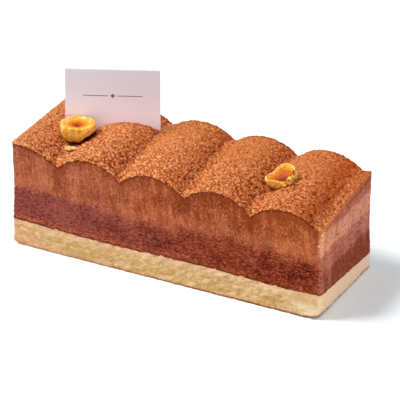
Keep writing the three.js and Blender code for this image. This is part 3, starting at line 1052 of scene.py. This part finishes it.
def cocoa_fields(points, edge, shown, hidden):
    """Numbers for the sheet, whose last points are shown below the edge or hidden under it."""
    seen = np.concatenate([np.ones(len(edge) + shown), np.zeros(hidden)])
    near_edge = np.concatenate([1 - smooth(edge, 0.0, 1.0), np.ones(shown), np.zeros(hidden)])
    share = wave_share(points[:, 0], points[:, 1])[3]
    # The flank of each wave that faces away from the light: the cocoa paints shade there, and its relief
    # is a little stronger there.
    shaded_flank = smooth(share, 0.5, 0.86) * (1 - smooth(share, 0.9, 0.98))
    front = 1 - smooth(points[:, 1], -16, 12)
    return {
        "open": seen * (1 - 0.3 * near_edge) * (0.8 + 0.2 * front + 0.3 * shaded_flank * front),
        "crumbs": seen * (1 + 0.7 * near_edge),
        "shaded_flank": shaded_flank,
    }


def cocoa_sheet():
    """The dusting: a fine grid over the top, a rounded rim and a plain underside."""
    top, edge, quads, rim = cocoa_grid()
    loop_x, loop_y = edge_loop(COCOA_STEP)
    rings = []
    for inset, drop in COCOA_RIM:
        x, y = in_plan(loop_x, loop_y, inset, 0.0, LIGHT_CORNERS)
        rings.append(columns(x, y, crown_z(x, y) - drop))
    rings += cap_rings(rings[-1], lambda x, y: crown_z(x, y) - COCOA_DROP, 8)
    count = len(rim)
    here, after = ring_pairs(count)
    faces = [quads, columns(rim[after], rim[here], len(top) + here, len(top) + after)]
    faces += flipped(tube_faces(len(rings), count, len(top)))
    faces += flipped(zip_faces(len(top) + (len(rings) - 1) * count, count))
    points = np.concatenate([top, *rings])
    fields = cocoa_fields(points, edge, 2 * count, (len(rings) - 2) * count)
    return make_piece("cocoa_top", points, faces, fields)


def nut_shade_weight(x, y, z):
    """The powder is painted darker round the foot of each nut, as shade that the nut casts."""
    left = smooth(np.hypot(x - LEFT_NUT_SHADE[0], (y - LEFT_NUT_SHADE[1]) / 0.9), 5.2, 7.0)
    right = smooth(np.hypot(x - RIGHT_NUT[0], y - RIGHT_NUT[1]), 3.6, 5.6)
    return 1 - np.minimum(left, right)


cocoa = relief.apply(
    cocoa_sheet(), grain=0.6, grain_size=1.0, clump=1.0, clump_size=1.5, material=cocoa_paint
)
# paint shade on the powder round the foot of each nut
mark(cocoa, "nut_shade", nut_shade_weight)
cocoa_grains = crumbs.apply(
    cocoa, "cocoa_grains", density=1.42, least=0.17, most=0.34, sink=0.15, seed=3, material=cocoa_paint
)
cocoa_crumbs = crumbs.apply(
    cocoa, "cocoa_crumbs", density=1.1, least=0.2, most=0.5, sink=0.3, seed=27, material=cocoa_paint
)


# ---- hazelnut pieces ----
def nut_section(radius, depth, hollow, dip, lip, fullness):
    """Reach and height along the section, from the lowest point to the hollow's middle, and how
    far inwards each place lies. dip is how much the hollow steepens inwards, lip the rim's share
    of the radius and fullness how slowly the outside widens."""
    rim = radius * lip
    angle = np.linspace(0, math.pi / 2, NUT_STEPS + 1)[1:-1]
    outside = columns(radius * np.sin(angle) ** fullness, -depth * np.cos(angle) ** 0.9)
    angle = np.linspace(0, math.pi, NUT_STEPS // 2)[:-1]
    round_lip = columns(radius - rim + rim * np.cos(angle), 0.6 * rim * np.sin(angle))
    share = np.linspace(1, 0, NUT_STEPS)[:-1]
    bowl = columns((radius - 2 * rim) * share, -hollow * (1 - share) ** dip)
    section = np.concatenate([outside, round_lip, bowl])
    inward = np.concatenate([np.zeros(len(outside) + len(round_lip)), (1 - share) ** (dip * 0.8)])
    return section, inward


def nut_points(section, inward, bowl, breadth, waves, torn, seed):
    """The section turned round, with swells, a torn side and flutes on the outside. The lowest
    point and the hollow's middle come last."""
    angle = round_angles(NUT_AROUND)
    radius = bowl["radius"]
    reach = section[:, 0:1] / radius
    swell = sum(height * np.sin(count * angle + start) for count, height, start in waves)
    notch = torn * (0.6 + 0.4 * np.sin(7 * angle + seed) + 0.3 * np.sin(13 * angle))
    stretch = 1 + swell * reach - notch * 0.3 * reach
    flute = 1 + 0.045 * np.sin(6 * angle + seed) * np.sin(math.pi * reach) * (inward[:, None] == 0)
    x = section[:, 0:1] * np.cos(angle) * stretch * flute
    y = section[:, 0:1] * np.sin(angle) * stretch * breadth * flute
    z = section[:, 1:2] + radius * reach ** 3 * (0.6 * np.roll(swell, 9) - notch * 0.45)
    rings = np.stack([x, y, z], axis=2).reshape(-1, 3)
    return np.concatenate([rings, [[0, 0, section[0, 1]], [0, 0, -bowl["hollow"]]]])


def nut_fields(section, inward, depth, torn, skin_and_shade_share):
    def ringed(values, lowest, middle):
        return np.concatenate([values, [lowest, middle]])

    rings = len(section)
    outside = np.repeat(inward == 0, NUT_AROUND)
    low = np.clip(-np.repeat(section[:, 1], NUT_AROUND) / depth, 0, 1) * outside
    return {
        "open": ringed(np.tile(0.55 + torn, rings) + 0.6 * smooth(low, 0.05, 0.4), 1, 0.5),
        "hollow": ringed(np.repeat(inward, NUT_AROUND), 0, 1),
        "torn": ringed(np.tile(smooth(torn, 0.1, 0.6), rings), 0, 0),
        "shade": ringed(low, 1, 0),
        "skin_and_shade": ringed(np.tile(skin_and_shade_share, rings) * smooth(low, 0.2, 0.6), 0, 0),
        "crumbs": ringed(np.tile(torn, rings), 0, 0),
    }


def nut(name, place, tilt, turn, seed, breadth, waves, broken, skin_and_shade, bowl):
    """Half a hazelnut. waves are (count, height, start) of the swells round its rim. broken is the
    direction and the amount by which one side of the rim is torn, and the next argument the direction and
    the amount of the dark skin on its outside, which is also painted shade under that side. bowl goes to
    nut_section."""
    section, inward = nut_section(**bowl)
    angle = round_angles(NUT_AROUND)
    torn = np.maximum(0, np.cos(angle - broken[0])) ** 2 * broken[1]
    # dark skin on one side, which is also painted shade under that side
    skin_and_shade_share = smooth(np.cos(angle + turn - skin_and_shade[0]), 0.3, 0.9) * skin_and_shade[1]
    points = nut_points(section, inward, bowl, breadth, waves, torn, seed)
    tilted = Matrix.Rotation(tilt[1], 3, "Y") @ Matrix.Rotation(tilt[0], 3, "X")
    turned = tilted @ Matrix.Rotation(turn, 3, "Z")
    points = points @ np.array(turned).T + np.array(place)
    here, after = ring_pairs(NUT_AROUND)
    last = (len(section) - 1) * NUT_AROUND
    lowest = np.full(NUT_AROUND, len(points) - 2)
    faces = tube_faces(len(section), NUT_AROUND)
    faces += [columns(after, here, lowest), columns(last + here, last + after, lowest + 1)]
    fields = nut_fields(section, inward, bowl["depth"], torn, skin_and_shade_share)
    made = make_piece(name, points, faces, fields)
    return relief.apply(
        made, clump=0.8, clump_size=2.2, grain=0.3, grain_size=1.2, seed=seed, material=nut_paint
    )


def torn_side(x, y, z):
    """The broken side of the right nut."""
    out = (x - RIGHT_NUT[0]) * math.cos(0.1) + (y - RIGHT_NUT[1]) * math.sin(0.1)
    return smooth(out, 1.0, 3.2) * smooth(z, 39, 41)


def torn_rim(x, y, z):
    """Where chips of flesh stand on the right nut."""
    return torn_side(x + 0.7, y + 0.7, z) * smooth(z, 40.5, 42.5)


def nowhere(x, y, z):
    return np.zeros_like(x)


# Painted highlight on the right nut's left wall, which faces the light.
def right_nut_lit_side(x, y, z):
    return smooth(34.6 - x, 0, 2.4) * smooth(z, 39.5, 42)


# Painted highlight on the left nut's left side, which faces the light.
def left_nut_lit_side(x, y, z):
    return 0.6 * smooth(-45.5 - x, 0, 2.5) * smooth(z, 40, 43)


left_nut = nut(
    "left_hazelnut", LEFT_NUT, tilt=(-0.02, -0.02), turn=0.35, seed=35.0, breadth=0.9,
    waves=((2, 0.02, 0.4), (3, 0.02, 2.0), (5, 0.03, 0.6), (9, 0.016, 1.0), (14, 0.01, 2.0)),
    broken=(0.0, 0.0), skin_and_shade=(0.25, 1.0),
    bowl={"radius": 6.2, "depth": 7.0, "hollow": 1.1, "dip": 1.3, "lip": 0.12, "fullness": 0.95},
)
right_nut = nut(
    "right_hazelnut", RIGHT_NUT, tilt=(0.22, -0.28), turn=0.0, seed=21.0, breadth=0.95,
    waves=((3, 0.13, -2.93), (2, 0.03, 1.2), (5, 0.03, 0.2)), broken=(-0.4, 1.3), skin_and_shade=(0.0, 0.0),
    bowl={"radius": 5.3, "depth": 6.4, "hollow": 3.0, "dip": 0.8, "lip": 0.05, "fullness": 0.8},
)
mark(right_nut, "open", torn_side)
mark(right_nut, "shade", nowhere)
mark(right_nut, "pale", right_nut_lit_side)
mark(left_nut, "pale", left_nut_lit_side)
right_nut = relief.apply(
    right_nut, clump=1.5, clump_size=0.8, grain=0.6, grain_size=0.9, seed=9.0, material=nut_paint
)
nut_crumbs = crumbs.apply(
    right_nut, "nut_crumbs", density=1.4, least=0.12, most=0.34, sink=0.1, seed=8, material=cocoa_paint
)
mark(right_nut, "crumbs", torn_rim)
nut_chips = crumbs.apply(
    right_nut, "nut_chips", density=1.5, least=0.3, most=0.95, sink=0.3, seed=5, material=nut_paint
)


def flake_piece():
    """A thin sliver of nut that lies across the first valley."""
    angle = round_angles(FLAKE_AROUND)
    edge = 1 + 0.16 * np.sin(3 * angle + 1) + 0.1 * np.sin(7 * angle)
    rings = []
    for height, share in FLAKE_SECTION:
        x = FLAKE_LENGTH / 2 * np.cos(angle) * edge * share
        y = FLAKE_WIDTH / 2 * np.sin(angle) * edge * share
        rings.append(columns(x, y, height + 0.25 * np.sin(x * 0.9)))
    turned = Matrix.Rotation(0.05, 3, "Z") @ Matrix.Rotation(0.12, 3, "X")
    points = np.concatenate(rings) @ np.array(turned).T + np.array(FLAKE)
    faces = tube_faces(len(rings), FLAKE_AROUND) + flipped(zip_faces(0, FLAKE_AROUND))
    faces += zip_faces((len(rings) - 1) * FLAKE_AROUND, FLAKE_AROUND)
    made = make_piece("nut_flake", points, faces, {"open": np.ones(len(points))})
    return relief.apply(made, clump=0.5, clump_size=1.4, seed=5.0, material=flake_paint)


flake = flake_piece()


# ---- crumbs on the cut faces ----
def corner_smear(x, y, z):
    """Cocoa that the knife dragged down the right end beside its front corner."""
    wide = lerp(1.4, 3.8, smooth(z, 24, 35))
    across = smooth(y, -21.0, -20.3) * (1 - smooth(y + 20.5, wide * 0.5, wide))
    down = (1 - smooth(z, 34.5, 36.0)) * smooth(z, 24.0, 27.5)
    return smooth(x, 58.6, 59.0) * across * down


def under_rim(x, y, z):
    """Loose cocoa just under the edge of the top."""
    below = crown_z(x, np.clip(y, -WIDTH / 2, WIDTH / 2)) - z
    return (1 - smooth(below, 0.4, 2.2)) * smooth(below, 0.2, 0.5)


def under_valleys(x, y, z):
    """The mousse is darker below the valleys of the top."""
    start, end = wave_share(x, y)[1:3]
    return 1 - smooth(np.minimum(x - start, end - x), 0.3, 3.2)


def above_seam(x, y, z):
    """Loose crumbs at the foot of the dark mousse."""
    return 1 - smooth(z - sponge_top_z(x, y), 0.8, 5.0)


mark(light, "crease", under_valleys)
mark(light, "smear", corner_smear)
mark(light, "crumbs", corner_smear)
corner_crumbs = crumbs.apply(
    light, "corner_crumbs", density=2.4, least=0.2, most=0.58, sink=0.1, seed=11, material=smear_paint
)
mark(light, "crumbs", under_rim)
face_crumbs = crumbs.apply(
    light, "face_crumbs", density=0.7, least=0.14, most=0.36, sink=0.3, seed=12, material=cocoa_paint
)
mark(dark, "crumbs", above_seam)
seam_crumbs = crumbs.apply(
    dark, "seam_crumbs", density=0.22, least=0.15, most=0.45, sink=0.5, seed=19, material=dark_paint
)


# ---- card ----
def card_piece():
    shape = bmesh.new()
    bmesh.ops.create_cube(shape, size=1.0)
    size = Vector((CARD_WIDTH, CARD_THICKNESS, CARD_TOP - CARD_FOOT)) * MM
    bmesh.ops.scale(shape, vec=size, verts=shape.verts)
    edges = shape.edges[:]
    bmesh.ops.bevel(shape, geom=edges, offset=CARD_ROUND * MM, segments=2, affect="EDGES", profile=0.5)
    place = Matrix.Translation(Vector((CARD_X, CARD_Y, (CARD_TOP + CARD_FOOT) / 2)) * MM)
    bmesh.ops.transform(shape, matrix=place @ Matrix.Rotation(CARD_TURN, 4, "Z"), verts=shape.verts)
    mesh = bpy.data.meshes.new("upright_card")
    shape.to_mesh(mesh)
    shape.free()
    mesh.materials.append(card_paint)
    return add_object("upright_card", mesh)


card = card_piece()

# ---- what rides and replaces ----
PIECES = (
    (sponge, "sponge_base", "sponge"),
    (dark, "dark_mousse", "dark_mousse"),
    (light, "light_mousse", "light_mousse"),
    (cocoa, "cocoa_dusting", "cocoa"),
    (flake, "cocoa_dusting", "hazelnut"),
    (cocoa_grains, None, "cocoa"),
    (cocoa_crumbs, None, "cocoa"),
    (face_crumbs, None, "cocoa"),
    (corner_crumbs, None, "cocoa"),
    (nut_crumbs, None, "cocoa"),
    (nut_chips, None, "hazelnut"),
    (seam_crumbs, None, "dark_mousse"),
    (left_nut, "hazelnut_left", "hazelnut"),
    (right_nut, "hazelnut_right", "hazelnut"),
    (card, "card", "card"),
)
for piece, node_name, slot_name in PIECES:
    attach(piece, "root")
    if node_name:
        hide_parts(node_name)


# ---- studio ----
def direction(azimuth, elevation):
    """A direction from the cake. Azimuth 0 is in front of it and 90 degrees to its right."""
    a, e = math.radians(azimuth), math.radians(elevation)
    return Vector((math.sin(a) * math.cos(e), -math.cos(a) * math.cos(e), math.sin(e)))


def floor():
    mesh = bpy.data.meshes.new("floor")
    low, high = -FLOOR_WIDTH / 2, FLOOR_WIDTH / 2
    corners = [(low, low, FLOOR_Z), (high, low, FLOOR_Z), (high, high, FLOOR_Z), (low, high, FLOOR_Z)]
    mesh.from_pydata(corners, [], [(0, 1, 2, 3)])
    paint = Finish(
        "floor_white", Roughness=0.8, Specular_IOR_Level=0.1,
        Emission_Color=(0.86, 0.95, 1), Emission_Strength=0.145,
    )
    tone = paint.noise(paint.at, 600.0, 2.0)
    mesh.materials.append(paint.finish(paint.colour(tone, (0.86, 0.92, 0.95), (0.87, 0.93, 0.96))))
    add_object("floor", mesh)


def white_world():
    world = bpy.data.worlds.new("studio")
    world.use_nodes = True
    sky = Graph(world.node_tree)
    height = sky.split(sky.node("ShaderNodeTexCoord", output="Generated"))[2]
    tone = sky.colour(sky.fade(height, 0.02, 0.3), (1, 1, 1), (0.42, 0.42, 0.43))
    sky.plug(world.node_tree.nodes["Background"].inputs["Color"], tone)
    bpy.context.scene.world = world


def sun(name, azimuth, elevation, strength, spread):
    """A soft light from a direction."""
    data = bpy.data.lights.new(name, "SUN")
    data.energy = strength
    data.angle = math.radians(spread)
    made = add_object(name, data)
    made.rotation_euler = direction(azimuth, elevation).to_track_quat("Z", "Y").to_euler()


def camera():
    data = bpy.data.cameras.new("camera")
    data.lens = CAMERA_LENS
    data.sensor_width = 36
    data.clip_start = 0.05
    data.clip_end = 20
    azimuth, roll = math.radians(CAMERA_AZIMUTH), math.radians(CAMERA_ROLL)
    back = direction(CAMERA_AZIMUTH, CAMERA_ELEVATION)
    level = Vector((math.cos(azimuth), math.sin(azimuth), 0.0))
    upright = back.cross(level)
    right = level * math.cos(roll) + upright * math.sin(roll)
    up = upright * math.cos(roll) - level * math.sin(roll)
    place = Vector(CAMERA_TARGET) * MM + back * (CAMERA_DISTANCE * MM)
    turned = Matrix((right, up, back)).transposed().to_4x4()
    made = add_object("camera", data)
    made.matrix_world = Matrix.Translation(place) @ turned
    bpy.context.scene.camera = made


floor()
white_world()
sun("key", azimuth=-65.5, elevation=56.5, strength=2.92, spread=22)
sun("fill", azimuth=82, elevation=4, strength=0.8, spread=40)
sun("front", azimuth=10, elevation=30, strength=0.25, spread=80)
camera()
bpy.context.scene.view_settings.view_transform = "Standard"
